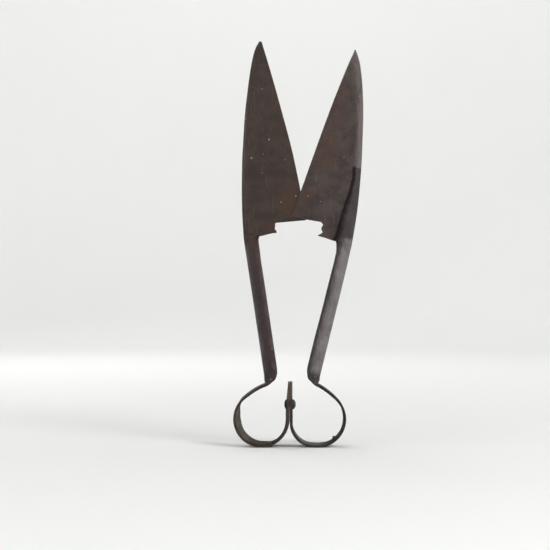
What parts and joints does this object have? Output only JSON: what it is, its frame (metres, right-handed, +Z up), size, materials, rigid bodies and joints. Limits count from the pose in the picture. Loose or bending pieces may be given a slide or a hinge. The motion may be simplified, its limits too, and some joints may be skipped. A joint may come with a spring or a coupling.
{
  "type": "sheep shears",
  "caption": "Hand-forged sheep shears with long pointed triangular blades, hollow half-round grips and round flat-spring bows riveted back to back.",
  "frame": {"origin": "middle of the overall width and depth, on the surface that both bows stand on", "axes": "+Z up along the blades to the points, x across the pair, y through the blades with -Y towards the front blade"},
  "size_m": [0.1092, 0.021, 0.3406],
  "materials": {
    "blade_steel": "old dark brown patina, dull",
    "grip_steel": "hand-worn grey brown patina, satin",
    "bow_steel": "forged, dull grey brown",
    "rivet_steel": "dark rust brown"
  },
  "bodies": {
    "bow": {"left_bow": "bow_steel", "right_bow": "bow_steel", "bow_rivet": "rivet_steel"},
    "left_half": {"left_handle": "grip_steel", "left_blade": "blade_steel"},
    "right_half": {"right_handle": "grip_steel", "right_blade": "blade_steel"}
  },
  "joints": [
    {"name": "left_bow_flex", "type": "hinge", "parent": "bow", "child": "left_half", "pos_m": [-0.03427, 0, 0.0215], "axis": [0, 1, 0], "range_deg": [0, 7.4], "stiffness_Nm_per_rad": 20, "deforming": ["left_bow"]},
    {"name": "right_bow_flex", "type": "hinge", "parent": "bow", "child": "right_half", "pos_m": [0.01953, 0, 0.0215], "axis": [0, -1, 0], "range_deg": [0, 7.4], "stiffness_Nm_per_rad": 20, "deforming": ["right_bow"]}
  ],
  "couplings": [
    {"joint": "right_bow_flex", "follows": "left_bow_flex", "ratio": 1}
  ]
}
